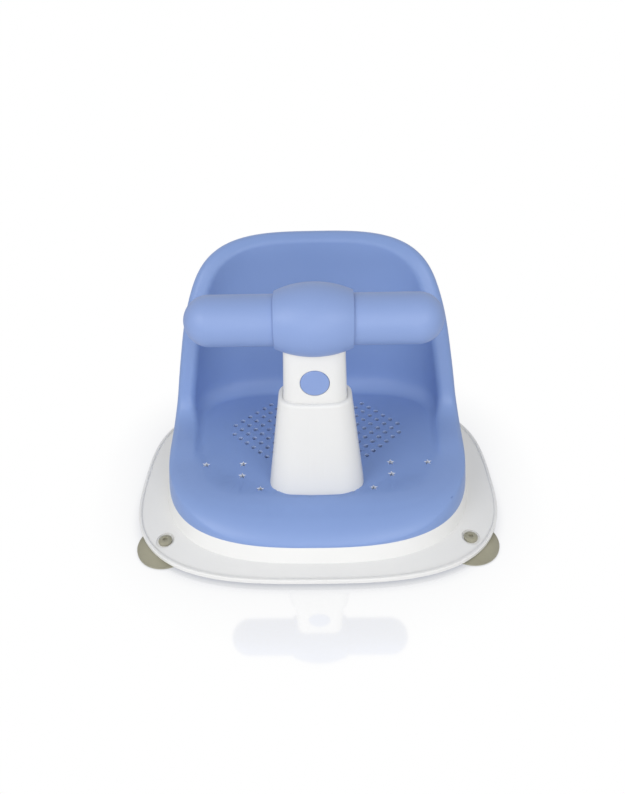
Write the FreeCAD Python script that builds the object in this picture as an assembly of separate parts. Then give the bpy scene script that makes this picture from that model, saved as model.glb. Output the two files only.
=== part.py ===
import FreeCAD, Part
import math
import os
from FreeCAD import Vector

os.makedirs("parts", exist_ok=True)

# Baby bath seat: a blue tub seat on a white tray with four suction cups, and a padded T-bar that stands in a
# pedestal between the child's legs and lifts out when its round button is pressed.
# Millimetres. The origin is on the surface it stands on, under the middle of the tray. +Z is up, the child
# faces -Y, and X runs across the seat.

# Sizes shared by all pieces
overrun = 2.0
body_gap = 0.3
screw_slip = 0.05
outline_steps = 20
post_outline_steps = 10
half_share = 0.5
loft_degree = 3
full_turn = 360.0
volume_slack = 0.001
level_slack = 0.01
ray_slack = 0.0001
quarter_turn = 90.0

# White tray: flange with a raised lip, channel and sloped step up to a platform
tray_half_width = 177.5
tray_half_depth = 133.5
tray_power = 3.0
lip_top = 8.6
lip_bottom = 4.2
lip_width = 3.0
lip_slope_run = 1.6
lip_round = 0.9
channel_top = 7.0
channel_rise = 3.2
flange_thickness = 2.2
platform_top = 24.0
step_out_side = 3.0
step_out_front = 6.0
step_out_rear = 3.0
tray_wall = 3.0

# Outline of the seat's foot, measured from the widest station of the seat
seat_station = 47.0
foot_half_width = 152.1
foot_front = 157.2
foot_rear = 77.0
foot_power_side = 2.65
foot_power_front = 4.0
foot_power_rear = 3.1
front_taper_share = 0.045

# Blue seat: floor, sill, wings and backrest
floor_top = 44.0
floor_thickness = 3.0
sill_top = 48.0
back_top = 226.0
form_top = 248.0
side_draft = 0.101
side_bow = 7.4
back_lean = 0.057
roll_depth = 26.0
roll_square = 13.5
roll_fourth = 9.9
# Levels of the outer wall: height above the platform as a share of the roll's depth, and how far the front
# has rolled back there, as a share of the whole roll. Above the sill only the sides and the back remain.
roll_level_shares = (0.0, 0.15, 0.31, 0.46, 0.62, 0.77, 0.92)
upper_level_shares = (
    (0.14, 1.6),
    (0.18, 2.1),
    (0.24, 2.5),
    (0.33, 2.7),
    (0.45, 2.8),
    (0.6, 2.8),
    (0.79, 2.8),
    (1.0, 2.8),
)
seat_wall = 3.0
rim_thickness = 17.0
rim_spread = 0.015
rim_round = 7.6
wing_start = 12.0
wing_end = 136.0
bowl_run = 14.0
bowl_rise = 20.0
bowl_level_shares = (0.0, 0.08, 0.22, 0.45, 0.7, 1.0)
hollow_level_shares = (0.16, 0.26, 0.39, 0.56, 0.76, 1.0)
bowl_front = 126.0
bowl_power_front = 5.5
# Points of the wing's rising edge: share of the run from its start to the back, share of the rise
wing_edge_shares = (
    (0.08, 0.001),
    (0.16, 0.005),
    (0.24, 0.016),
    (0.335, 0.058),
    (0.403, 0.171),
    (0.468, 0.348),
    (0.54, 0.554),
    (0.613, 0.699),
    (0.694, 0.816),
    (0.79, 0.901),
    (0.895, 0.961),
    (1.0, 0.998),
    (1.16, 1.016),
)
hollow_shift = 6.0
hollow_drop = 7.0
rim_join = 60.0

# Drain field: a square grid turned by 45 degrees
drain_pitch = 10.0
drain_hole_radius = 2.4
drain_field_y = 32.0
drain_row_reach = 6
drain_widest_steps = 12

# Star holes, four on each side of the pedestal
star_radius = 4.0
star_waist_share = 0.45
star_points = 5
star_places = ((108.0, -22.0), (72.0, -21.0), (71.5, -37.5), (53.0, -56.0))

# Suction cups and their seats in the tray
front_cup_x = 142.0
front_cup_y = -85.5
rear_cup_x = 130.0
rear_cup_y = 87.0
cup_radius = 26.8
cup_edge = 1.8
cup_crown_radius = 10.0
cup_crown = 4.4
cup_hollow = 2.2
cup_foot_ring = 3.0
cup_shoulder_radius = 8.0
stem_radius = 4.0
stem_gap = 0.3
stem_head_radius = 6.3
stem_head_height = 3.2
stem_dimple_radius = 2.0
stem_dimple_depth = 1.4
pocket_radius_front = 8.6
pocket_radius_rear = 7.0
pocket_floor = 6.9
pocket_floor_thickness = 2.0
seat_boss_wall = 1.8

# Pedestal cover
post_y = -40.0
cover_half_width = 44.2
cover_half_depth = 24.5
cover_top_half_width = 31.6
cover_top_half_depth = 19.2
cover_power = 3.2
cover_top = 143.0
cover_wall = 2.6
cover_round = 2.8
cover_mouth_gap = 0.7

# Post guide, the tube inside the pedestal
guide_wall = 2.2
guide_gap = 0.3
guide_top = 137.0
guide_foot_half_width = 39.0
guide_foot_half_depth = 15.2
guide_foot = 3.0
guide_boss_radius = 4.0
guide_boss_height = 12.0

# Neck: a tongue in the guide and the part that shows, in a front and a rear half
neck_power = 3.6
tongue_half_width = 24.0
tongue_half_depth = 12.0
tongue_bottom = 62.0
neck_foot_half_width = 27.4
neck_foot_half_depth = 15.2
neck_draft = 0.037
neck_top = 229.0
neck_wall = 2.4
neck_boss_radius = 4.2
neck_boss_x = 13.0
neck_boss_heights = (80.0, 197.0)

# Release button and latch leaf
button_height = 163.0
button_radius = 12.2
button_proud = 0.4
button_skin = 2.0
button_seat = 0.8
button_flange = 1.8
button_flange_thickness = 1.4
button_crown = 0.5
button_gap = 0.3
button_stem_radius = 5.0
sleeve_wall = 1.6
sleeve_length = 3.2
leaf_half_width = 8.0
leaf_thickness = 1.2
leaf_bottom = 68.0
leaf_top = 172.0
leaf_pad = 1.6
leaf_pad_height = 10.0
leaf_peg_x = 4.5
leaf_peg_radius = 1.5
leaf_peg_length = 2.0
nose_half_width = 6.0
nose_height = 8.0
nose_bottom = 118.0
nose_reach = 1.1
nose_ramp = 4.0
slot_gap = 0.5

# Bar: hub, tube, plugs and grips
bar_height = 215.4
hub_radius = 30.0
hub_end_radius = 23.2
hub_half_length = 31.5
hub_wall = 2.6
hub_recess = 0.8
hub_edge_round = 0.9
hub_neck_gap = 0.2
hub_screw_x = 14.0
hub_screw_rise = 20.5
hub_boss_radius = 4.2
hub_screw_seat = 12.0
tube_radius = 10.0
tube_wall = 1.8
tube_half_length = 86.0
tube_gap = 0.1
plug_rim = 2.0
plug_depth = 12.0
grip_radius = 20.9
grip_tip = 104.0

# Screws: pan heads, plain shanks, conical tips
screw_radius = 1.7
screw_head_radius = 3.2
screw_head_height = 2.2
screw_tip = 1.6
screw_clear_radius = 2.0
head_clear_radius = 3.6
head_recess = 1.4
shell_screw_places = ((92.0, -48.0), (100.0, 20.0), (75.0, 66.0))
shell_boss_radius = 4.4
guide_screw_x = 32.0
guide_screw_y = 8.0
cover_screw_y = 19.0
cover_boss_radius = 3.2
cover_boss_height = 12.0
cover_web = 2.4
tower_radius = 4.4
screw_bite = 9.0

# Ribs and drain slots of the tray
slot_half_width = 5.0
slot_length = 76.0
slot_end_round = 4.6
slot_places = (-60.0, -30.0, 0.0, 30.0, 60.0)
rib_places = (-112.0, -45.0, 45.0, 112.0)
rib_thickness = 2.0
rib_bottom = 9.0
rib_front = -68.0
rib_back = 104.0
locating_rim_height = 3.0
locating_rim_wall = 1.6

z_axis = Vector(0, 0, 1)
x_axis = Vector(1, 0, 0)
y_axis = Vector(0, 1, 0)


def two_halves(points):
    """Closed outline from the points of its right half, from the rear middle to the front middle."""
    stations = [index / (len(points) - 1) for index in range(len(points))]
    halves = []
    for side in (1, -1):
        curve = Part.BSplineCurve()
        curve.interpolate(
            Points=[Vector(side * point.x, point.y, point.z) for point in points],
            Parameters=stations,
            InitialTangent=Vector(side, 0, 0),
            FinalTangent=Vector(-side, 0, 0),
        )
        halves.append(curve.toShape())
    return Part.Wire([halves[0], halves[1].reversed()])


def ray_outline(fullness, y, z, steps):
    """Closed outline where the fullness is 1, found on rays that fan out evenly from a point at y."""
    points = []
    for index in range(steps + 1):
        angle = math.pi * (half_share - index / steps)
        across = abs(math.cos(angle)) if 0 < index < steps else 0
        along = math.sin(angle)
        near = 0
        far = 2 * tray_half_width
        while far - near > ray_slack:
            radius = (near + far) / 2
            if fullness(radius * across, radius * along) < 1:
                near = radius
            else:
                far = radius
        points.append(Vector(near * across, y + near * along, z))
    return two_halves(points)


def rounded_outline(half_width, half_depth, power, y, z):
    """Smooth outline between an ellipse and a rectangle, the same to the front and to the rear."""
    return ray_outline(
        lambda across, along: (across / half_width) ** power + abs(along / half_depth) ** power,
        y,
        z,
        post_outline_steps,
    )


def seat_outline(half_width, front, rear, front_powers, z):
    """Outline of the seat: widest at its station, and a little narrower towards the front."""

    def fullness(across, along):
        if along > 0:
            return (across / half_width) ** foot_power_rear + (along / rear) ** foot_power_rear
        side_power, front_power = front_powers
        width = half_width + front_taper_share * along
        return (across / width) ** side_power + abs(along / front) ** front_power

    return ray_outline(fullness, seat_station, z, outline_steps)


def prism(wire, height):
    """Solid that stands on a closed flat wire."""
    return Part.Face(wire).extrude(Vector(0, 0, height))


def loft(wires, straight=False):
    """Solid through closed wires, one above the other."""
    return Part.makeLoft(wires, True, straight, False, loft_degree)


def rod(radius, x, y, low, high):
    """Upright round bar from one height to another."""
    return Part.makeCylinder(radius, high - low, Vector(x, y, low), z_axis)


def block(x_low, x_high, y_low, y_high, z_low, z_high):
    """Straight block between two corners."""
    corner = Vector(x_low, y_low, z_low)
    return Part.makeBox(x_high - x_low, y_high - y_low, z_high - z_low, corner)


def screw(x, y, seat_z, length):
    """Screw that points up, its head's underside at the given height."""
    profile = [
        (0, -screw_head_height),
        (screw_head_radius - screw_tip / 2, -screw_head_height),
        (screw_head_radius, -screw_head_height / 2),
        (screw_head_radius, 0),
        (screw_radius, 0),
        (screw_radius, length - screw_tip),
        (0, length),
        (0, -screw_head_height),
    ]
    points = [Vector(x + across_axis, y, seat_z + rise) for across_axis, rise in profile]
    face = Part.Face(Part.makePolygon(points))
    return face.revolve(Vector(x, y, 0), z_axis, full_turn)


def turned(shape, degrees, axis, centre):
    """Copy of a shape turned about an axis through a point."""
    copy = shape.copy()
    copy.rotate(centre, axis, degrees)
    return copy


def mirrored(shape):
    """Copy of a shape on the other side of the seat."""
    return shape.mirror(Vector(0, 0, 0), x_axis)


def save(name, shape):
    """Write a piece to its own file, with its flat faces merged where that keeps its volume."""
    merged = shape.removeSplitter()
    kept = merged.isValid() and abs(merged.Volume - shape.Volume) < volume_slack * shape.Volume
    piece = merged if kept or not shape.isValid() else shape
    print(name, len(piece.Solids), piece.isValid(), round(piece.Volume))
    piece.exportStep("parts/" + name + ".step")


def pierce_floor(solid, plugs):
    """Put openings through the seat's flat floor: plugs are bars that just span its thickness."""
    faces = []
    for face in solid.Faces:
        box = face.BoundBox
        flat = box.ZLength < level_slack and box.XLength > guide_foot_half_width
        if flat and min(abs(box.ZMin - floor_top), abs(box.ZMin - floor_bottom)) < level_slack:
            ends = [end for plug in plugs for end in plug.Faces if end.BoundBox.ZLength < level_slack]
            level = [end for end in ends if abs(end.BoundBox.ZMin - box.ZMin) < level_slack]
            faces.extend(face.cut(level).Faces)
        else:
            faces.append(face)
    for plug in plugs:
        faces.extend(side for side in plug.Faces if side.BoundBox.ZLength > level_slack)
    shell = Part.makeShell(faces)
    shell.sewShape()
    result = Part.makeSolid(shell)
    if result.Volume < 0:
        result.reverse()
    return result


# Seat form: the outer block, the rising rim edge and the hollow that the child sits in.
# These make the wrap-round backrest with wings that drop steeply to a low sill.

def side_reach(rise):
    """Half width of the seat at a height above the platform."""
    return foot_half_width - side_draft * rise - side_bow * (rise / (back_top - platform_top)) ** 2


def seat_block(inset, foot):
    """Outer block of the seat, inset from the real surface, starting at the height of its foot."""
    tall = form_top - platform_top
    whole = roll_square + roll_fourth
    levels = []
    for share in roll_level_shares:
        levels.append((share * roll_depth, roll_square * share**2 + roll_fourth * share**2 * share**2))
    levels.extend((share * tall, roll_share * whole) for share, roll_share in upper_level_shares)
    if foot < platform_top:
        levels.insert(0, (foot - platform_top, 0))
    wires = []
    for rise, roll in levels:
        front = foot_front - roll - inset
        half_width = side_reach(rise) - inset
        rear = foot_rear + back_lean * rise - inset
        wires.append(
            seat_outline(half_width, front, rear, (foot_power_side, foot_power_front), platform_top + rise)
        )
    return loft(wires)


def seat_hollow(outset):
    """Space inside the seat, with a bowl-shaped edge to its floor, outset into the wall."""
    tall = form_top - floor_top
    levels = [floor_top + share * bowl_rise for share in bowl_level_shares]
    levels.extend(floor_top + share * tall + overrun for share in hollow_level_shares)
    wires = []
    for level in levels:
        above = min((level - floor_top) / bowl_rise, 1)
        inset = bowl_run * (1 - math.sqrt(1 - (1 - above) ** 2))
        wall = rim_thickness + rim_spread * (back_top - level)
        rise = level - platform_top
        half_width = side_reach(rise) - wall - inset + outset
        rear = foot_rear + back_lean * rise - wall - inset + outset
        front = bowl_front - inset + outset
        place = level - outset if above < 1 else level
        wires.append(seat_outline(half_width, front, rear, (bowl_power_front, bowl_power_front), place))
    return loft(wires)


def under_rim(shift, drop):
    """Everything below the rim's side profile: level over the sill, then up the wings to the backrest."""
    run = wing_end - wing_start
    rise = back_top - sill_top
    start = Vector(0, wing_start + shift, sill_top - drop)
    points = [start]
    for run_share, rise_share in wing_edge_shares:
        points.append(start + Vector(0, run * run_share, rise * rise_share))
    curve = Part.BSplineCurve()
    curve.interpolate(Points=points)
    front = -tray_half_depth - overrun
    corners = [
        points[-1],
        Vector(0, points[-1].y, 0),
        Vector(0, front, 0),
        Vector(0, front, start.z),
        start,
    ]
    edges = [curve.toShape()]
    for first, second in zip(corners, corners[1:]):
        edges.append(Part.makeLine(first, second))
    face = Part.Face(Part.Wire(edges))
    face.translate(Vector(-tray_half_width, 0, 0))
    return face.extrude(Vector(2 * tray_half_width, 0, 0))


def long_rim_edges(body):
    """The rim's outer and inner border, without the short joins across it."""
    high = [edge for edge in body.Edges if edge.BoundBox.ZMin > floor_top + overrun]
    return [edge for edge in high if edge.Length > rim_join]


def star(x, y, low, high):
    """Upright star-shaped bar."""
    points = []
    for index in range(2 * star_points):
        angle = math.pi * index / star_points + math.pi / 2
        radius = star_radius if index % 2 == 0 else star_radius * star_waist_share
        points.append(Vector(x + radius * math.cos(angle), y + radius * math.sin(angle), low))
    points.append(points[0])
    return prism(Part.makePolygon(points), high - low)


# Tray. The flange, its lip, the cone of the channel and the sloped step are one hollow moulding.

def tray_outline(inset, z):
    """Outline of the tray, inset from its edge, with its points on rays from the seat's widest station."""
    half_width = tray_half_width - inset
    half_depth = tray_half_depth - inset

    def fullness(across, along):
        return (across / half_width) ** tray_power + abs((seat_station + along) / half_depth) ** tray_power

    return ray_outline(fullness, seat_station, z, outline_steps)


def foot_outline(inset, z, front_inset=None, rear_inset=None):
    """Outline of the seat's foot, inset or, where the inset is negative, outset."""
    return seat_outline(
        foot_half_width - inset,
        foot_front - (inset if front_inset is None else front_inset),
        foot_rear - (inset if rear_inset is None else rear_inset),
        (foot_power_side, foot_power_front),
        z,
    )


def step_outline(inset, z):
    """Outline of the foot of the sloped step."""
    return foot_outline(inset - step_out_side, z, inset - step_out_front, inset - step_out_rear)


def cup_seats():
    """Places of the four suction cups with the radius and the top of each pocket."""
    return (
        ("front_left", -front_cup_x, front_cup_y, pocket_radius_front, channel_top),
        ("front_right", front_cup_x, front_cup_y, pocket_radius_front, channel_top),
        ("rear_left", -rear_cup_x, rear_cup_y, pocket_radius_rear, platform_top),
        ("rear_right", rear_cup_x, rear_cup_y, pocket_radius_rear, platform_top),
    )


def both_sides(places):
    """Each place and its twin on the other side."""
    return [(side * x, y) for x, y in places for side in (-1, 1)]


guide_screw_places = both_sides(
    ((guide_screw_x, post_y - guide_screw_y), (guide_screw_x, post_y + guide_screw_y))
)
cover_screw_places = ((0, post_y - cover_screw_y), (0, post_y + cover_screw_y))
seat_screw_places = both_sides(shell_screw_places)
floor_bottom = floor_top - floor_thickness
platform_bottom = platform_top - tray_wall
channel_end = channel_top + channel_rise
underside = channel_top - flange_thickness
boss_bottom = pocket_floor - pocket_floor_thickness

lip_inner = loft(
    [tray_outline(lip_width, channel_top), tray_outline(lip_width - lip_slope_run, lip_top + overrun)], True
)
lip = prism(tray_outline(0, lip_bottom), lip_top - lip_bottom)
lip = lip.makeFillet(lip_round, [edge for edge in lip.Edges if edge.BoundBox.ZMin > channel_top])
lip = lip.cut(lip_inner)
rising = loft(
    [
        tray_outline(lip_width / 2, lip_bottom),
        tray_outline(lip_width / 2, channel_top),
        step_outline(0, channel_end),
        foot_outline(0, platform_top),
    ],
    True,
)
under = loft(
    [
        tray_outline(lip_width, lip_bottom - overrun),
        tray_outline(lip_width, underside),
        step_outline(tray_wall, channel_end - flange_thickness),
        foot_outline(tray_wall, platform_bottom),
    ],
    True,
)
base = lip.fuse(rising).cut(under)
additions = []
for x in rib_places:
    rib = block(x - rib_thickness / 2, x + rib_thickness / 2, rib_front, rib_back, rib_bottom, platform_top)
    additions.append(rib.common(under))
for name, x, y, radius, top in cup_seats():
    additions.append(rod(radius + seat_boss_wall, x, y, boss_bottom, top))
for x, y in list(guide_screw_places) + list(cover_screw_places):
    additions.append(rod(tower_radius, x, y, platform_bottom, floor_bottom))
rim_outside = prism(foot_outline(seat_wall + body_gap, platform_top), locating_rim_height)
rim_inside = prism(
    foot_outline(seat_wall + body_gap + locating_rim_wall, platform_top), locating_rim_height + overrun
)
additions.append(rim_outside.cut(rim_inside))
base = base.fuse(additions)
cuts = []
for name, x, y, radius, top in cup_seats():
    cuts.append(rod(radius, x, y, pocket_floor, platform_top + locating_rim_height + overrun))
    cuts.append(rod(stem_radius + stem_gap, x, y, boss_bottom - overrun, pocket_floor + overrun))
for x, y in list(guide_screw_places) + list(cover_screw_places) + list(seat_screw_places):
    cuts.append(rod(screw_clear_radius, x, y, platform_bottom - overrun, floor_bottom + overrun))
for x in slot_places:
    low = drain_field_y - slot_length / 2
    high = drain_field_y + slot_length / 2
    slot = block(
        x - slot_half_width, x + slot_half_width, low, high, platform_bottom - overrun, platform_top + overrun
    )
    ends = [edge for edge in slot.Edges if edge.BoundBox.ZLength > tray_wall]
    cuts.append(slot.makeFillet(slot_end_round, ends))
base = base.cut(cuts)
save("base_plate", base)

# Suction cups: a soft disc with a raised foot ring, and a buttoned stem through the tray.
for name, x, y, radius, top in cup_seats():
    head_top = pocket_floor + stem_head_height
    profile = [
        (0, cup_hollow),
        (cup_radius - cup_foot_ring, 0),
        (cup_radius, 0),
        (cup_radius, cup_edge),
        (cup_crown_radius, cup_crown),
        (cup_shoulder_radius, boss_bottom),
        (stem_radius, boss_bottom),
        (stem_radius, pocket_floor),
        (stem_head_radius, pocket_floor),
        (stem_head_radius, head_top - stem_dimple_depth),
        (stem_radius, head_top),
        (stem_dimple_radius, head_top),
        (stem_dimple_radius, head_top - stem_dimple_depth),
        (0, head_top - stem_dimple_depth),
        (0, cup_hollow),
    ]
    points = [Vector(x + across, y, z) for across, z in profile]
    face = Part.Face(Part.makePolygon(points))
    save("suction_cup_" + name, face.revolve(Vector(x, y, 0), z_axis, full_turn))

# Blue seat. The rim is rounded on both sides, then the moulding is hollowed from below to an even wall.
seat = seat_block(0, platform_top).common(under_rim(0, 0)).cut(seat_hollow(0))
seat = seat.makeFillet(rim_round, long_rim_edges(seat))
core = seat_block(seat_wall, platform_top - overrun).cut(seat_hollow(floor_thickness))
core = core.common(under_rim(hollow_shift, hollow_drop))
seat = seat.cut(core)
bosses = []
for x, y in seat_screw_places:
    bosses.append(rod(shell_boss_radius, x, y, platform_top, floor_bottom + body_gap))
seat = seat.fuse(bosses)
cuts = []
for x, y in seat_screw_places:
    bore_end = platform_top + screw_bite + overrun
    cuts.append(rod(screw_radius + screw_slip, x, y, platform_top - overrun, bore_end))
seat = seat.cut(cuts)
plugs = []
for x, y in list(guide_screw_places) + list(cover_screw_places):
    plugs.append(rod(screw_clear_radius, x, y, floor_bottom, floor_top))
for x, y in both_sides(star_places):
    plugs.append(star(x, y, floor_bottom, floor_top))
drain_step = drain_pitch / math.sqrt(2)
for row in range(-drain_row_reach, drain_row_reach + 1):
    steps = drain_widest_steps - abs(abs(row) - 1)
    y = drain_field_y + row * drain_step
    for column in range(-steps, steps + 1, 2):
        x = column * drain_step
        if y < post_y + cover_half_depth + drain_pitch / 2 and abs(x) < cover_half_width + drain_hole_radius:
            continue
        plugs.append(rod(drain_hole_radius, x, y, floor_bottom, floor_top))
seat = pierce_floor(seat, plugs)
save("seat_shell", seat)


# Pedestal cover, guide, and the neck that stands in it.

def post_outline(half_width, half_depth, power, z):
    """Rounded outline round the post's axis."""
    return rounded_outline(half_width, half_depth, power, post_y, z)


def upper_neck(inset, bottom, top):
    """Tapered part of the neck above the pedestal, inset from its surface."""
    wires = []
    for level in (bottom, top):
        narrowing = neck_draft * (level - cover_top)
        half_width = neck_foot_half_width - narrowing - inset
        half_depth = neck_foot_half_depth - narrowing - inset
        wires.append(post_outline(half_width, half_depth, neck_power, level))
    return loft(wires, True)


def tongue(inset, bottom, top):
    """Straight tongue of the neck, inset from its surface."""
    wire = post_outline(tongue_half_width - inset, tongue_half_depth - inset, neck_power, bottom)
    return prism(wire, top - bottom)


cover = loft(
    [
        post_outline(cover_half_width, cover_half_depth, cover_power, floor_top),
        post_outline(cover_top_half_width, cover_top_half_depth, cover_power, cover_top),
    ],
    True,
)
top_edges = [edge for edge in cover.Edges if edge.BoundBox.ZMin > cover_top - overrun]
cover = cover.makeFillet(cover_round, top_edges)
cavity = loft(
    [
        post_outline(cover_half_width - cover_wall, cover_half_depth - cover_wall, cover_power, floor_top),
        post_outline(
            cover_top_half_width - cover_wall,
            cover_top_half_depth - cover_wall,
            cover_power,
            cover_top - cover_wall,
        ),
    ],
    True,
)
bosses = []
for x, y in cover_screw_places:
    bosses.append(rod(cover_boss_radius, x, y, floor_top, floor_top + cover_boss_height))
    side = 1 if y > post_y else -1
    wall = post_y + side * (cover_half_depth - cover_wall / 2)
    web = block(
        -cover_web / 2, cover_web / 2, min(y, wall), max(y, wall), floor_top, floor_top + cover_boss_height
    )
    bosses.append(web.common(cover))
cover = cover.cut(cavity).fuse(bosses)
cuts = [upper_neck(-cover_mouth_gap, cover_top - 2 * cover_wall, cover_top + overrun)]
for x, y in cover_screw_places:
    cuts.append(rod(screw_radius + screw_slip, x, y, floor_top - overrun, floor_top + screw_bite + overrun))
cover = cover.cut(cuts)
save("pedestal_cover", cover)

guide_inner_width = tongue_half_width + guide_gap
guide_inner_depth = tongue_half_depth + guide_gap
tube = prism(
    post_outline(guide_inner_width + guide_wall, guide_inner_depth + guide_wall, neck_power, floor_top),
    guide_top - floor_top,
)
foot = prism(post_outline(guide_foot_half_width, guide_foot_half_depth, neck_power, floor_top), guide_foot)
boss_top = floor_top + guide_boss_height
bosses = [rod(guide_boss_radius, x, y, floor_top, boss_top) for x, y in guide_screw_places]
window_bottom = nose_bottom - slot_gap
window_top = nose_bottom + nose_height + slot_gap
window = block(
    -nose_half_width - slot_gap,
    nose_half_width + slot_gap,
    post_y - guide_inner_depth - guide_wall - overrun,
    post_y - guide_inner_depth + overrun,
    window_bottom,
    window_top,
)
cuts = [
    prism(post_outline(guide_inner_width, guide_inner_depth, neck_power, floor_top - overrun), guide_top),
    window,
]
for x, y in guide_screw_places:
    cuts.append(rod(screw_radius + screw_slip, x, y, floor_top - overrun, floor_top + screw_bite + overrun))
guide = tube.fuse([foot] + bosses).cut(cuts)
save("post_guide", guide)

# The neck is hollow and splits at its middle plane. Its tongue stands in the guide, its shoulder on the rim.
shoulder = guide_top + guide_gap
neck = tongue(0, tongue_bottom, shoulder + overrun).fuse(upper_neck(0, shoulder, neck_top))
space = tongue(neck_wall, tongue_bottom + neck_wall, shoulder + 2 * neck_wall)
space = space.fuse(upper_neck(neck_wall, shoulder + neck_wall, neck_top - neck_wall))
neck_shell = neck.cut(space)
front_side = block(-tray_half_width, tray_half_width, -2 * tray_half_depth, post_y, 0, form_top + hub_radius)
seat_plane = post_y + tongue_half_depth - screw_head_height - head_recess
button_face = post_y - neck_foot_half_depth + neck_draft * (button_height - cover_top) - button_proud
wall_inside = button_face + button_proud + neck_wall
leaf_face = post_y - tongue_half_depth + neck_wall + leaf_pad


def across(radius, x, low, high, z):
    """Round bar along Y between two stations."""
    return Part.makeCylinder(radius, high - low, Vector(x, low, z), y_axis)


bosses = []
for z in neck_boss_heights:
    for x in (-neck_boss_x, neck_boss_x):
        boss = across(neck_boss_radius, x, post_y - neck_foot_half_depth, post_y + neck_foot_half_depth, z)
        bosses.append(boss.common(neck))
neck_shell = neck_shell.fuse(bosses)
tube_start = Vector(-hub_half_length, post_y, bar_height)
cuts = [Part.makeCylinder(tube_radius + tube_gap, 2 * hub_half_length, tube_start, x_axis)]
for z in neck_boss_heights:
    for x in (-neck_boss_x, neck_boss_x):
        cuts.append(across(screw_radius + screw_slip, x, post_y - screw_bite - overrun, post_y + overrun, z))
        cuts.append(across(screw_clear_radius, x, post_y, seat_plane + overrun, z))
        cuts.append(across(head_clear_radius, x, seat_plane, post_y + neck_foot_half_depth + overrun, z))
neck_shell = neck_shell.cut(cuts)
rear_half = neck_shell.cut(front_side)
save("neck_rear_shell", rear_half)

sleeve_bore = button_radius + button_flange + button_gap
sleeve_end = wall_inside + sleeve_length
sleeve = across(sleeve_bore + sleeve_wall, 0, wall_inside - overrun, sleeve_end, button_height).common(neck)
sleeve = sleeve.cut(across(sleeve_bore, 0, wall_inside - neck_wall / 2, leaf_face, button_height))
pad = block(
    -leaf_half_width,
    leaf_half_width,
    post_y - tongue_half_depth + neck_wall / 2,
    leaf_face,
    leaf_bottom,
    leaf_bottom + leaf_pad_height,
)
peg_height = leaf_bottom + leaf_pad_height / 2
pegs = []
for x in (-leaf_peg_x, leaf_peg_x):
    pegs.append(across(leaf_peg_radius, x, leaf_face - leaf_pad, leaf_face + leaf_peg_length, peg_height))
front_half = neck_shell.common(front_side).fuse([sleeve, pad] + pegs)
nose_slot = block(
    -nose_half_width - slot_gap,
    nose_half_width + slot_gap,
    post_y - neck_foot_half_depth,
    leaf_face,
    window_bottom,
    window_top,
)
button_hole = across(button_radius + button_gap, 0, button_face - overrun, leaf_face, button_height)
front_half = front_half.cut([nose_slot, button_hole])
save("neck_front_shell", front_half)

# Round button: a shallow domed cap with a flange that keeps it in, and a stub that meets the leaf.
flange_face = wall_inside + button_seat
flange_back = flange_face + button_flange_thickness
stub_end = leaf_face - body_gap
profile = [
    (0, button_face),
    (button_radius - button_crown, button_face),
    (button_radius, button_face + button_crown),
    (button_radius, flange_face),
    (button_radius + button_flange, flange_face),
    (button_radius + button_flange, flange_back),
    (button_radius - button_skin, flange_back),
    (button_radius - button_skin, button_face + button_skin),
    (button_stem_radius, button_face + button_skin),
    (button_stem_radius, stub_end),
    (0, stub_end),
    (0, button_face),
]
points = [Vector(radius, y, button_height) for radius, y in profile]
face = Part.Face(Part.makePolygon(points))
save("release_button", face.revolve(Vector(0, 0, button_height), y_axis, full_turn))

# Latch leaf: a springy strip pinned at its foot, with a nose that stands in the guide's window.
leaf = block(-leaf_half_width, leaf_half_width, leaf_face, leaf_face + leaf_thickness, leaf_bottom, leaf_top)
tip = post_y - guide_inner_depth - nose_reach
nose_points = [
    Vector(-nose_half_width, leaf_face + leaf_thickness / 2, nose_bottom),
    Vector(-nose_half_width, tip + nose_ramp / 2, nose_bottom),
    Vector(-nose_half_width, tip, nose_bottom + nose_ramp),
    Vector(-nose_half_width, tip, nose_bottom + nose_height),
    Vector(-nose_half_width, leaf_face + leaf_thickness / 2, nose_bottom + nose_height),
]
nose_points.append(nose_points[0])
nose = Part.Face(Part.makePolygon(nose_points)).extrude(Vector(2 * nose_half_width, 0, 0))
leaf = leaf.fuse(nose)
holes = []
for x in (-leaf_peg_x, leaf_peg_x):
    hole_radius = leaf_peg_radius + screw_slip
    holes.append(across(hole_radius, x, leaf_face - overrun, leaf_face + overrun, peg_height))
leaf = leaf.cut(holes)
save("latch_leaf", leaf)

# Hub: a barrel in two halves round the neck and the tube, with a shallow recess for each grip.

def barrel(inset):
    """Barrel of the hub, inset from its surface."""
    centre = Vector(0, 0, hub_radius - inset)
    end = hub_half_length - inset
    edge_z = hub_end_radius - inset
    left = Vector(-end, 0, edge_z)
    right = Vector(end, 0, edge_z)
    arc = Part.Arc(left, centre, right).toShape()
    sides = Part.makePolygon([right, Vector(end, 0, 0), Vector(-end, 0, 0), left])
    face = Part.Face(Part.Wire([arc] + sides.Edges))
    solid = face.revolve(Vector(0, 0, 0), x_axis, full_turn)
    solid.translate(Vector(0, post_y, bar_height))
    return solid


def along(radius, low, high, z):
    """Round bar along X on the bar's axis."""
    return Part.makeCylinder(radius, high - low, Vector(low, post_y, z), x_axis)


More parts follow.
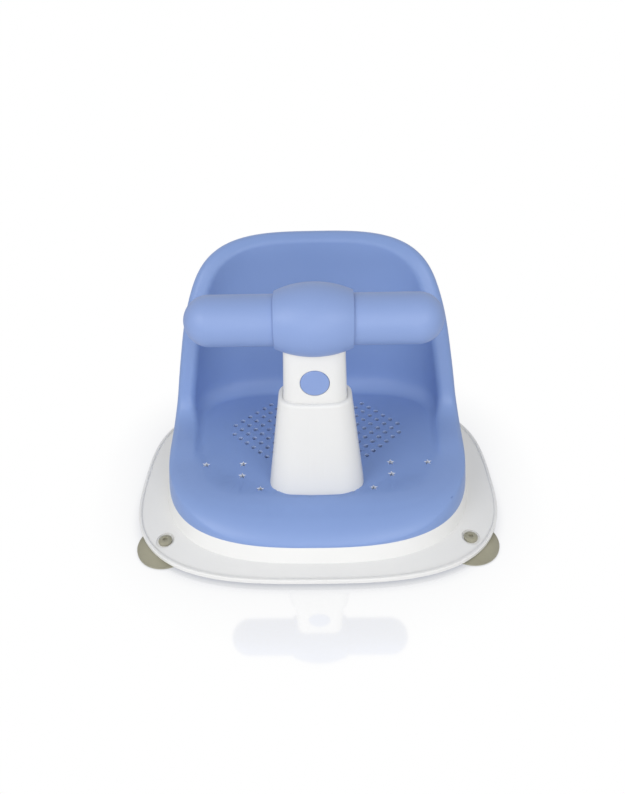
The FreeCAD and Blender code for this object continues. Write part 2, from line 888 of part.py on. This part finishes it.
hub = barrel(0)
ends = [edge for edge in hub.Edges if edge.BoundBox.XLength < level_slack]
hub = hub.makeFillet(hub_edge_round, ends)
bosses = []
boss_z = bar_height + hub_screw_rise
for x in (-hub_screw_x, hub_screw_x):
    bosses.append(across(hub_boss_radius, x, post_y - hub_radius, post_y + hub_radius, boss_z).common(hub))
hub = hub.cut(barrel(hub_wall)).fuse(bosses)
recess = grip_radius + body_gap
cuts = [
    along(tube_radius + tube_gap, -2 * hub_half_length, 2 * hub_half_length, bar_height),
    along(recess, hub_half_length - hub_recess, 2 * hub_half_length, bar_height),
    along(recess, -2 * hub_half_length, hub_recess - hub_half_length, bar_height),
    upper_neck(-hub_neck_gap, shoulder, neck_top + hub_neck_gap),
]
for x in (-hub_screw_x, hub_screw_x):
    seat_y = post_y + hub_screw_seat
    cuts.append(across(screw_radius + screw_slip, x, post_y - screw_bite - overrun, post_y + overrun, boss_z))
    cuts.append(across(screw_clear_radius, x, post_y, seat_y + overrun, boss_z))
    cuts.append(across(head_clear_radius, x, seat_y, post_y + hub_radius + overrun, boss_z))
hub = hub.cut(cuts)
save("hub_front_cover", hub.common(front_side))
save("hub_rear_cover", hub.cut(front_side))

# Tube through the hub, its end plugs and the soft grips.
tube = along(tube_radius, -tube_half_length, tube_half_length, bar_height)
bore_end = tube_half_length + overrun
tube = tube.cut(along(tube_radius - tube_wall, -bore_end, bore_end, bar_height))
save("bar_tube", tube)
plug_end = tube_half_length + plug_rim
plug = along(tube_radius, tube_half_length, plug_end, bar_height)
plug_body = tube_radius - tube_wall - screw_slip
plug = plug.fuse(along(plug_body, tube_half_length - plug_depth, tube_half_length + plug_rim / 2, bar_height))
save("bar_end_plug_right", plug)
save("bar_end_plug_left", mirrored(plug))
grip_start = hub_half_length - hub_recess
grip = along(grip_radius, grip_start, grip_tip - grip_radius, bar_height)
grip = grip.fuse(Part.makeSphere(grip_radius, Vector(grip_tip - grip_radius, post_y, bar_height)))
grip = grip.cut(along(tube_radius + tube_gap, grip_start - overrun, plug_end + body_gap, bar_height))
save("grip_right", grip)
save("grip_left", mirrored(grip))

# Screws
long_length = floor_top + screw_bite - platform_bottom
short_length = platform_top + screw_bite - platform_bottom
post_length = seat_plane - post_y + screw_bite
hub_length = hub_screw_seat + screw_bite
for name, places, length in (
    ("pedestal_screws", guide_screw_places, long_length),
    ("cover_screws", cover_screw_places, long_length),
    ("shell_screws", seat_screw_places, short_length),
):
    save(name, Part.makeCompound([screw(x, y, platform_bottom, length) for x, y in places]))


def rear_screw(x, y, z, length):
    """Screw that points forward, its head's underside at y."""
    return turned(screw(x, y, z, length), quarter_turn, x_axis, Vector(x, y, z))


neck_set = []
for z in neck_boss_heights:
    for x in (-neck_boss_x, neck_boss_x):
        neck_set.append(rear_screw(x, seat_plane, z, post_length))
save("neck_screws", Part.makeCompound(neck_set))
hub_set = [rear_screw(x, post_y + hub_screw_seat, boss_z, hub_length) for x in (-hub_screw_x, hub_screw_x)]
save("hub_screws", Part.makeCompound(hub_set))
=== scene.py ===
import math

import bmesh
import bpy
from mathutils import Matrix, Vector


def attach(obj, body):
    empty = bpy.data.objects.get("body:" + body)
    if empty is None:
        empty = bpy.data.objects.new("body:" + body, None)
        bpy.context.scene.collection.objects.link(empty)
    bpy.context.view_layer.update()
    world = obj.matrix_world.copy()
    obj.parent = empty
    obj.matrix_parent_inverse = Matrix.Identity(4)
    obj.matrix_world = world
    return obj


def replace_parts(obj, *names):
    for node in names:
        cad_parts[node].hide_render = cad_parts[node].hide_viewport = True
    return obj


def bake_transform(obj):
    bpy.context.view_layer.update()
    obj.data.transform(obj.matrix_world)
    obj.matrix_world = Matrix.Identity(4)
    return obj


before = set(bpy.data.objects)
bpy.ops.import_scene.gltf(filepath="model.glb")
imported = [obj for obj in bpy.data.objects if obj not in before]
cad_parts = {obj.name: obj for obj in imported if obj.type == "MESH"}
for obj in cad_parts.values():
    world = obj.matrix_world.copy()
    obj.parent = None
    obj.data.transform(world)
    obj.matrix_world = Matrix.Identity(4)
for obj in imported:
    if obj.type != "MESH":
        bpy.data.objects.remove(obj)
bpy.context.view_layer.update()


# The tray is one white moulding with a raised lip, a shallow channel and a sloped step up to the seat.
# It is polypropylene with a fine satin texture. The suction cups hang from it, and screws go up through
# it into the seat and the pedestal.

def srgb(red, green, blue):
    """Colour as a screen shows it, from 0 to 255, as the linear colour that a shader takes."""
    shares = [part / 255 for part in (red, green, blue)]
    return tuple(s / 12.92 if s <= 0.04045 else ((s + 0.055) / 1.055) ** 2.4 for s in shares) + (1.0,)


class Shade:
    """One value in a material. Sums on it add Math nodes, and node() adds any other node."""

    def __init__(self, tree, socket=None):
        self.tree = tree
        self.socket = socket

    def node(self, kind, settings=None, values=None, output=0):
        """Add a node: its settings first, then the values or links of its sockets."""
        made = self.tree.nodes.new("ShaderNode" + kind)
        for name, value in (settings or {}).items():
            setattr(made, name, value)
        for name, value in (values or {}).items():
            if isinstance(value, Shade):
                self.tree.links.new(made.inputs[name], value.socket)
            else:
                made.inputs[name].default_value = value
        return Shade(self.tree, made.outputs[output])

    def maths(self, operation, first, second):
        return self.node("Math", {"operation": operation}, {0: first, 1: second})

    def __add__(self, other):
        return self.maths("ADD", self, other)

    def __radd__(self, other):
        return self.maths("ADD", other, self)

    def __sub__(self, other):
        return self.maths("SUBTRACT", self, other)

    def __rsub__(self, other):
        return self.maths("SUBTRACT", other, self)

    def __mul__(self, other):
        return self.maths("MULTIPLY", self, other)

    def __rmul__(self, other):
        return self.maths("MULTIPLY", other, self)

    def mixed(self, factor, first, second):
        """Colour between two colours. They are sockets 6 and 7 of a Mix node, and its output 2."""
        return self.node("Mix", {"data_type": "RGBA"}, {0: factor, 6: first, 7: second}, 2)


def new_material(name):
    """Empty material, its shading start and its output node."""
    material = bpy.data.materials.new(name)
    material.use_nodes = True
    material.node_tree.nodes.clear()
    output = material.node_tree.nodes.new("ShaderNodeOutputMaterial")
    return material, Shade(material.node_tree), output


flow_share = 0.7
cloud_share = 0.3
noise_middle = 0.5
cloud_gloss = 0.08
pit_gloss = 0.05
pit_height = 0.0002


def moulded_plastic(name, colour, shade_colour, roughness, grain, grain_depth, deep=None):
    """Injection-moulded plastic: faint flow marks in its colour and gloss, and a fine eroded surface.

    Another colour can be given below a height; both are given as deep. The star holes' walls use it: a
    painted highlight band above, a paler painted blue below.
    """
    material, start, output = new_material(name)
    place = start.node("TexCoord", output="Object")
    flow = start.node("TexNoise", values={"Vector": place, "Scale": 14.0, "Detail": 3.0, "Roughness": 0.55})
    cloud = start.node("TexNoise", values={"Vector": place, "Scale": 90.0, "Detail": 4.0, "Roughness": 0.6})
    pits = start.node("TexNoise", values={"Vector": place, "Scale": grain, "Detail": 3.0, "Roughness": 0.7})
    tint = start.mixed(flow * flow_share + cloud * cloud_share, colour, shade_colour)
    bump = start.node("Bump", values={"Strength": grain_depth, "Distance": pit_height, "Height": pits})
    gloss = roughness + (cloud - noise_middle) * cloud_gloss + (pits - noise_middle) * pit_gloss
    if deep:
        height, deep_colour = deep
        level = start.node("SeparateXYZ", values={"Vector": place}, output="Z")
        tint = start.mixed(start.maths("LESS_THAN", level, height), tint, deep_colour)
    values = {"Base Color": tint, "Roughness": gloss, "Normal": bump}
    surface = start.node("BsdfPrincipled", values=values)
    start.tree.links.new(output.inputs["Surface"], surface.socket)
    return material


def dress(node, material):
    """Give a carried-over piece its material."""
    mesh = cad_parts[node].data
    mesh.materials.clear()
    mesh.materials.append(material)


satin = {"roughness": 0.36, "grain": 1400.0, "grain_depth": 0.12}
tray_plastic = moulded_plastic("tray_moulding", srgb(232, 232, 231), srgb(227, 227, 226), **satin)
dress("base_plate", tray_plastic)


# Four soft cups hold the tray to the bath. Each is a see-through olive disc of soft vinyl, with a buttoned
# stem that is pulled up through its pocket in the tray.

def soft_vinyl(name):
    """Slightly see-through vinyl with a cloudy body."""
    material, start, output = new_material(name)
    place = start.node("TexCoord", output="Object")
    cloud = start.node("TexNoise", values={"Vector": place, "Scale": 60.0, "Detail": 4.0, "Roughness": 0.6})
    fine = start.node("TexNoise", values={"Vector": place, "Scale": 900.0, "Detail": 2.0, "Roughness": 0.6})
    tint = start.mixed(cloud, srgb(196, 193, 172), srgb(168, 164, 141))
    bump = start.node("Bump", values={"Strength": 0.1, "Distance": pit_height, "Height": fine})
    least_roughness = 0.3
    cloud_roughness = 0.12
    surface = start.node(
        "BsdfPrincipled",
        values={
            "Base Color": tint,
            "Roughness": least_roughness + cloud * cloud_roughness,
            "Normal": bump,
            "Transmission Weight": 0.35,
            "IOR": 1.45,
        },
    )
    start.tree.links.new(output.inputs["Surface"], surface.socket)
    return material


cup_vinyl = soft_vinyl("cup_vinyl")
for place_name in ("front_left", "front_right", "rear_left", "rear_right"):
    dress("suction_cup_" + place_name, cup_vinyl)


# The seat is one blue plastic moulding with a thick rolled rim, hollow from below and held by six screws
# from under the tray. Its sill is a broad soft roll from the foot to the floor. Round drain holes and star
# holes go through the floor. Their walls are painted lighter than the skin: painted highlight and painted
# light that stand in for the front light falling into the holes.

foot_z = 0.024
floor_z = 0.044
floor_under_z = 0.041
crest_z = 0.0453
sill_limit_z = 0.0495
# Depth of the painted highlight band at the top of the star holes' walls.
star_highlight_depth = 0.0034
blue_plastic = moulded_plastic(
    "blue_moulding", srgb(129, 155, 207), srgb(124, 150, 202), roughness=0.42, grain=1600.0, grain_depth=0.14
)
# The star holes' walls are painted pale: a painted highlight in their top band, and below it a blue paler
# than the skin, painted light against the shade inside the holes.
star_wall_painted_highlight = moulded_plastic(
    "blue_star_wall_painted_highlight", srgb(246, 249, 255), srgb(238, 243, 254), roughness=0.3, grain=900.0, grain_depth=0.1,
    deep=(floor_z - star_highlight_depth, srgb(198, 214, 243)),
)
# The drain holes' walls are painted a blue much lighter than the skin: painted light and highlight that stand
# in for the light falling into the holes, against their shade.
hole_wall_painted_light = moulded_plastic(
    "blue_hole_wall_painted_light", srgb(186, 204, 240), srgb(178, 197, 235), roughness=0.35, grain=900.0, grain_depth=0.1
)


def eased(share):
    """0 to 1 with a level start and end."""
    share = min(max(share, 0.0), 1.0)
    return share * share * (3 - 2 * share)


station_y = 0.047
foot_half_width = 0.1521
foot_front = 0.1572
foot_side_power = 2.65
foot_front_power = 4.0


def foot_fullness(x, y):
    """Under 1 inside the seat's foot."""
    front = (max(station_y - y, 0.0) / foot_front) ** foot_front_power
    return (x / foot_half_width) ** foot_side_power + front


arc_half_width = 0.121
arc_centre_y = 0.010
arc_front = 0.0775
arc_power = 2.5


def arc_fullness(x, y):
    """Under 1 inside the arc where the floor ends."""
    return (x / arc_half_width) ** arc_power + (max(arc_centre_y - y, 0.0) / arc_front) ** arc_power


search_near = 0.02
search_far = 0.3
search_steps = 14


def distance_to(fullness, x, y):
    """Distance from the seat's middle to the outline where the fullness is 1, through a point."""
    direction = math.hypot(x, y - arc_centre_y)
    along = (x / direction, (y - arc_centre_y) / direction)
    near, far = search_near, search_far
    for step in range(search_steps):
        reach = (near + far) / 2
        if fullness(abs(along[0]) * reach, arc_centre_y + along[1] * reach) < 1:
            near = reach
        else:
            far = reach
    return near


middle_reach = 0.04
roll_power = 1.65
roll_side_gain = 3.65
roll_side_power = 6
dish_run = 0.013
post_y = -0.04
post_foot_half_width = 0.0442
post_foot_half_depth = 0.0245
post_foot_power = 3.2
post_foot_gap = 0.0004
post_foot_run = 0.006
least_post = 0.01


def soft_height(x, y):
    """Height of the soft sill: a broad convex roll from the foot to the arc, then a slight dish.

    The dish runs down to the floor, and fades out to a level floor round the pedestal.
    """
    reach = math.hypot(x, y - arc_centre_y)
    if reach < middle_reach:
        return floor_z
    edge = distance_to(foot_fullness, x, y)
    arc = distance_to(arc_fullness, x, y)
    if reach > arc:
        share = max((edge - reach) / (edge - arc), 0.0)
        sideness = abs(x) / reach
        bend = roll_power + roll_side_gain * sideness**roll_side_power
        return foot_z + (crest_z - foot_z) * max(1 - (1 - min(share, 1.0)) ** bend, 0.0) ** (1 / bend)
    across = (abs(x) / post_foot_half_width) ** post_foot_power
    post = (across + (abs(y - post_y) / post_foot_half_depth) ** post_foot_power) ** (1 / post_foot_power)
    post_distance = math.hypot(x, y - post_y) * (1 - 1 / max(post, least_post))
    clear = eased((post_distance - post_foot_gap) / post_foot_run)
    return floor_z + (crest_z - floor_z) * clear * max(1 - ((arc - reach) / dish_run) ** 2, 0.0) ** 2


crease_angle = math.radians(34)


def smooth_shaded(body, angle):
    """Smooth shading that breaks at edges sharper than the angle."""
    for face in body.faces:
        face.smooth = True
    for edge in body.edges:
        edge.smooth = not (len(edge.link_faces) == 2 and edge.calc_face_angle(0.0) > angle)


merge_distance = 2e-6


def merged_copy(node):
    """The piece's own mesh as one closed surface, ready to be shaped."""
    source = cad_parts[node]
    body = bmesh.new()
    body.from_mesh(source.data)
    body.transform(source.matrix_world)
    bmesh.ops.remove_doubles(body, verts=body.verts, dist=merge_distance)
    return body


def new_piece(name, body, materials):
    """An object in the scene from a finished body."""
    mesh = bpy.data.meshes.new(name)
    body.to_mesh(mesh)
    body.free()
    for material in materials:
        mesh.materials.append(material)
    piece = bpy.data.objects.new(name, mesh)
    bpy.context.scene.collection.objects.link(piece)
    return piece


most_passes = 60


def halve_long_sides(body, longest, wanted):
    """Halve every side over the longest length where a test on a point says so.

    Only one side of a face is halved at a time, so every face stays a triangle.
    """
    for step in range(most_passes):
        long_edges = []
        for edge in body.edges:
            if edge.calc_length() > longest:
                first, second = edge.verts[0].co, edge.verts[1].co
                if any(wanted(point) for point in (first, second, (first + second) / 2)):
                    long_edges.append(edge)
        if not long_edges:
            break
        long_edges.sort(key=lambda edge: -edge.calc_length())
        halved, used = [], set()
        for edge in long_edges:
            if used.isdisjoint(edge.link_faces):
                halved.append(edge)
                used.update(edge.link_faces)
        bmesh.ops.subdivide_edges(body, edges=halved, cuts=1)


blend_start_y = -0.022
blend_end_y = 0.016
foot_slack = 0.001
flat_reach = 0.05
flat_slack = 0.0005


def in_sill(point):
    """True where the soft sill is shaped."""
    if not (foot_z - foot_slack < point.z < sill_limit_z and point.y < blend_end_y):
        return False
    return math.hypot(point.x, point.y - arc_centre_y) > flat_reach or abs(point.z - floor_z) > flat_slack


level_limit = 0.03
outward_limit = 0.2


def on_top(face, radial):
    """True for a face that looks up, or stands upright and looks away from the seat's middle."""
    if face.normal.z > level_limit:
        return True
    return abs(face.normal.z) <= level_limit and face.normal.dot(radial) > outward_limit


longest_side = 0.0032
sliver_area = 2e-9
level_slack = 1e-5
skin = 0.0024
body = merged_copy("seat_shell")
halve_long_sides(body, longest_side, in_sill)
body.normal_update()
moved = []
for vertex in body.verts:
    point = vertex.co
    if not in_sill(point):
        continue
    radial = Vector((point.x, point.y - arc_centre_y, 0.0)).normalized()
    sound = [face for face in vertex.link_faces if face.calc_area() > sliver_area]
    if not sound:
        near = {face for edge in vertex.link_edges for face in edge.other_vert(vertex).link_faces}
        sound = [face for face in near if face.calc_area() > sliver_area]
    upper = any(on_top(face, radial) for face in sound)
    height = soft_height(point.x, point.y)
    share = 1 - eased((point.y - blend_start_y) / (blend_end_y - blend_start_y))
    if upper and point.z > foot_z + level_slack:
        if point.z >= floor_z - level_slack or height < point.z:
            moved.append((vertex, point.z + (height - point.z) * share))
    elif not upper and point.z > height - skin:
        moved.append((vertex, point.z + (max(height - skin, foot_z - foot_slack) - point.z) * share))
for vertex, height in moved:
    vertex.co.z = height

star_reach = 0.0045
star_places = ((0.108, -0.022), (0.072, -0.021), (0.0715, -0.0375), (0.053, -0.056))
star_zones = [(side * x, y) for x, y in star_places for side in (-1, 1)]
hole_collar = 0.0012
star_collar = 0.0048


def near_star(point):
    """True close to a star hole."""
    return min(math.hypot(point.x - x, point.y - y) for x, y in star_zones) < star_reach


# The floor is thicker round its holes, so that their walls hide what lies below.
for vertex in body.verts:
    if abs(vertex.co.z - floor_under_z) < level_slack:
        vertex.co.z -= star_collar if near_star(vertex.co) else hole_collar
body.normal_update()
smooth_shaded(body, crease_angle)

wall_limit = 0.5
wall_depth = 0.0079
wall_rise = 0.002
drain_half = 0.09
drain_front = -0.035
drain_rear = 0.085
skin_index, star_highlight_index, hole_light_index = range(3)
# The walls of the star holes and of the drain holes get the painted highlight and painted light materials.
for face in body.faces:
    middle = face.calc_center_median()
    cut_edge = abs(face.normal.z) < wall_limit and floor_z - wall_depth < middle.z < floor_z + wall_rise
    face.material_index = skin_index
    if cut_edge and near_star(middle):
        face.material_index = star_highlight_index
    elif cut_edge and abs(middle.x) < drain_half and drain_front < middle.y < drain_rear:
        face.material_index = hole_light_index
seat = new_piece("seat_tub", body, (blue_plastic, star_wall_painted_highlight, hole_wall_painted_light))
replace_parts(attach(seat, "seat"), "seat_shell")


# The pedestal's cover is a tapered white moulding that stands on the seat's floor. It is plastic with the
# tray's satin texture, held by two screws that come up through the tray.

white_plastic = moulded_plastic("white_moulding", srgb(227, 227, 226), srgb(222, 222, 221), **satin)
dress("pedestal_cover", white_plastic)


# The post guide is a tube of rougher white plastic inside the pedestal, in which the neck slides. Four
# screws hold it, up through the tray and the seat's floor.

inner_plastic = moulded_plastic(
    "inner_moulding", srgb(222, 223, 224), srgb(212, 213, 215), roughness=0.5, grain=900.0, grain_depth=0.2
)
dress("post_guide", inner_plastic)


# A thin collar closes the gap between the neck and the mouth of the pedestal. It is the same white plastic,
# fits round the neck, and lifts out with it.

collar_inner = (0.02725, 0.01505)
collar_outer = (0.02806, 0.01586)
collar_profile = ((0.0, 0.1415), (0.0, 0.1432), (0.45, 0.14305), (0.8, 0.1428), (1.0, 0.1424), (1.0, 0.1415))
collar_crease_angle = math.radians(50)
post_power = 3.5
ring_steps = 96


def post_ring(half_width, half_depth, height):
    """Points of a rounded outline round the post."""
    ring = []
    for index in range(ring_steps):
        angle = 2 * math.pi * index / ring_steps
        across = (abs(math.cos(angle)) / half_width) ** post_power
        reach = (across + (abs(math.sin(angle)) / half_depth) ** post_power) ** (-1 / post_power)
        ring.append((reach * math.cos(angle), post_y + reach * math.sin(angle), height))
    return ring


points = []
for share, height in collar_profile:
    half_width, half_depth = (
        inner + share * (outer - inner) for inner, outer in zip(collar_inner, collar_outer)
    )
    points.extend(post_ring(half_width, half_depth, height))
faces = []
for row in range(len(collar_profile)):
    here = row * ring_steps
    following = (row + 1) % len(collar_profile) * ring_steps
    for index in range(ring_steps):
        after = (index + 1) % ring_steps
        faces.append((here + index, here + after, following + after, following + index))
collar_mesh = bpy.data.meshes.new("neck_collar_ring")
collar_mesh.from_pydata(points, [], faces)
body = bmesh.new()
body.from_mesh(collar_mesh)
bmesh.ops.recalc_face_normals(body, faces=body.faces)
smooth_shaded(body, collar_crease_angle)
collar = new_piece("neck_collar", body, (white_plastic,))
bpy.data.meshes.remove(collar_mesh)
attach(collar, "t_bar")


# The neck is a hollow white post, moulded in a front and a rear half that are screwed together from behind.
# Its foot is a tongue that stands in the post guide.

dress("neck_front_shell", white_plastic)
dress("neck_rear_shell", white_plastic)


# The latch leaf is a springy plastic strip inside the neck, pinned at its foot. It holds the neck in the
# guide. On the real seat it bends back as the button goes in; here it is cut into short sides and left as it
# is.

leaf_side = 0.004
body = merged_copy("latch_leaf")
halve_long_sides(body, leaf_side, lambda point: True)
smooth_shaded(body, crease_angle)
leaf = new_piece("latch_leaf_spring", body, (inner_plastic,))
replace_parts(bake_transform(leaf), "latch_leaf")


# The button is a round, slightly domed cap of blue plastic in the front of the neck. A flange keeps it in,
# and a stub on its back meets the leaf.

button_plastic = moulded_plastic(
    "button_blue", srgb(133, 156, 206), srgb(128, 151, 202), roughness=0.36, grain=1600.0, grain_depth=0.1
)
dress("release_button", button_plastic)


# The bar is a steel tube with a plug in each end. Soft foam-like grips are pushed over it, and a
# barrel-shaped hub in two halves clamps it to the neck.

soft_touch = moulded_plastic(
    "soft_touch_blue", srgb(133, 156, 205), srgb(128, 151, 201), roughness=0.46, grain=2200.0, grain_depth=0.3
)
for node in ("hub_front_cover", "hub_rear_cover", "grip_left", "grip_right"):
    dress(node, soft_touch)


def plated_steel(name):
    """Bright plated steel with fine turning marks."""
    material, start, output = new_material(name)
    place = start.node("TexCoord", output="Object")
    marks = start.node("TexNoise", values={"Vector": place, "Scale": 1200.0, "Detail": 3.0, "Roughness": 0.7})
    tint = start.mixed(marks, srgb(196, 197, 200), srgb(166, 168, 172))
    bump = start.node("Bump", values={"Strength": 0.15, "Distance": 0.0001, "Height": marks})
    least_roughness = 0.26
    mark_roughness = 0.2
    gloss = least_roughness + marks * mark_roughness
    values = {"Base Color": tint, "Metallic": 1.0, "Roughness": gloss, "Normal": bump}
    surface = start.node("BsdfPrincipled", values=values)
    start.tree.links.new(output.inputs["Surface"], surface.socket)
    return material


steel = plated_steel("plated_steel")
dress("bar_tube", steel)
dress("bar_end_plug_left", inner_plastic)
dress("bar_end_plug_right", inner_plastic)


# The screws are plated steel with pan heads. Those of the neck and the hub are driven from behind, and
# those of the seat, the post guide and the pedestal's cover from under the tray.

for node in ("neck_screws", "hub_screws", "pedestal_screws", "cover_screws", "shell_screws"):
    dress(node, steel)


# The studio has a white floor that the camera sees as an even white glow, with a painted soft contact shadow
# where ambient occlusion darkens it and a faint reflection, a white surround, and large soft lamps beside the
# camera.

floor_half = 6.0
contact_reach = 0.085
mirror_share = 0.15
mirror_roughness = 0.06
floor_mesh = bpy.data.meshes.new("studio_floor")
floor_corners = [(x * floor_half, y * floor_half, 0) for x, y in ((-1, -1), (1, -1), (1, 1), (-1, 1))]
floor_mesh.from_pydata(floor_corners, [], [(0, 1, 2, 3)])
floor = bpy.data.objects.new("studio_floor", floor_mesh)
bpy.context.scene.collection.objects.link(floor)
floor_material, start, output = new_material("studio_white")
seen = start.node("LightPath", output="Is Camera Ray")
place = start.node("TexCoord", output="Object")
grain = start.node("TexNoise", values={"Vector": place, "Scale": 30.0, "Detail": 2.0})
paint = start.mixed(grain, srgb(235, 235, 236), srgb(231, 231, 232))
# Painted contact shadow: the floor's glow turns grey where ambient occlusion finds the seat close by.
open_share = start.node("AmbientOcclusion", {"samples": 16}, {"Distance": contact_reach}, output="AO")
painted_shadow_tone = start.mixed(open_share, srgb(182, 186, 197), (1.0, 1.0, 1.0, 1.0))
matt = start.node("BsdfDiffuse", values={"Color": paint})
glow = start.node("Emission", values={"Color": painted_shadow_tone, "Strength": 1.0})
shine = start.node("BsdfGlossy", values={"Color": (1.0, 1.0, 1.0, 1.0), "Roughness": mirror_roughness})
pictured = start.node("MixShader", values={0: mirror_share, 1: glow, 2: shine})
surface = start.node("MixShader", values={0: seen, 1: matt, 2: pictured})
start.tree.links.new(output.inputs["Surface"], surface.socket)
floor_mesh.materials.append(floor_material)

surround_light = 0.54
world = bpy.data.worlds.new("studio")
world.use_nodes = True
world.node_tree.nodes.clear()
start = Shade(world.node_tree)
output = world.node_tree.nodes.new("ShaderNodeOutputWorld")
direct = start.node("LightPath", output="Is Camera Ray")
mirrored = start.node("LightPath", output="Is Glossy Ray")
shown = start.maths("MAXIMUM", direct, mirrored)
dim = start.node("Background", values={"Color": (1.0, 1.0, 0.995, 1.0), "Strength": surround_light})
bright = start.node("Background", values={"Color": (1.0, 1.0, 1.0, 1.0), "Strength": 1.0})
mix = start.node("MixShader", values={0: shown, 1: dim, 2: bright})
world.node_tree.links.new(output.inputs["Surface"], mix.socket)
bpy.context.scene.world = world

lamp_target = Vector((0.0, 0.0, 0.1))


def soft_lamp(name, place, size, power):
    """Large rectangular lamp that faces the middle of the seat."""
    data = bpy.data.lights.new(name, "AREA")
    data.shape = "RECTANGLE"
    data.size, data.size_y = size
    data.energy = power
    lamp = bpy.data.objects.new(name, data)
    bpy.context.scene.collection.objects.link(lamp)
    lamp.location = place
    lamp.rotation_euler = (lamp_target - Vector(place)).to_track_quat("-Z", "Y").to_euler()


soft_lamp("front_left_lamp", place=(-1.05, -1.15, 1.15), size=(0.9, 0.9), power=11.2)
soft_lamp("front_right_lamp", place=(0.7, -1.35, 1.1), size=(0.7, 0.7), power=7.0)
soft_lamp("low_lamp", place=(0.1, -1.6, 0.45), size=(0.8, 0.5), power=4.0)


# The camera stands in front of the seat and looks down on it, as in the photograph. Its place, its turn and
# its focal length are those at which the seat lies over the photograph's.

camera_place = Vector((0.00478, -0.49829, 0.47761))
camera_yaw = math.radians(-0.893)
camera_down = math.radians(36.5)
camera_roll = math.radians(-1.348)
focal_px = 657.29
image_height_px = 794
sensor_mm = 36.0
nearest_seen = 0.01
forward = Vector(
    (
        math.sin(camera_yaw) * math.cos(camera_down),
        math.cos(camera_yaw) * math.cos(camera_down),
        -math.sin(camera_down),
    )
)
level = Vector((math.cos(camera_yaw), -math.sin(camera_yaw), 0.0))
upright = level.cross(forward)
right = math.cos(camera_roll) * level + math.sin(camera_roll) * upright
above = math.cos(camera_roll) * upright - math.sin(camera_roll) * level
camera_data = bpy.data.cameras.new("photo_camera")
camera_data.sensor_width = sensor_mm
camera_data.lens = focal_px * sensor_mm / image_height_px
camera_data.clip_start = nearest_seen
camera = bpy.data.objects.new("photo_camera", camera_data)
bpy.context.scene.collection.objects.link(camera)
turn = Matrix((right, above, -forward)).transposed().to_4x4()
camera.matrix_world = Matrix.Translation(camera_place) @ turn
bpy.context.scene.camera = camera
bpy.context.scene.view_settings.view_transform = "Standard"
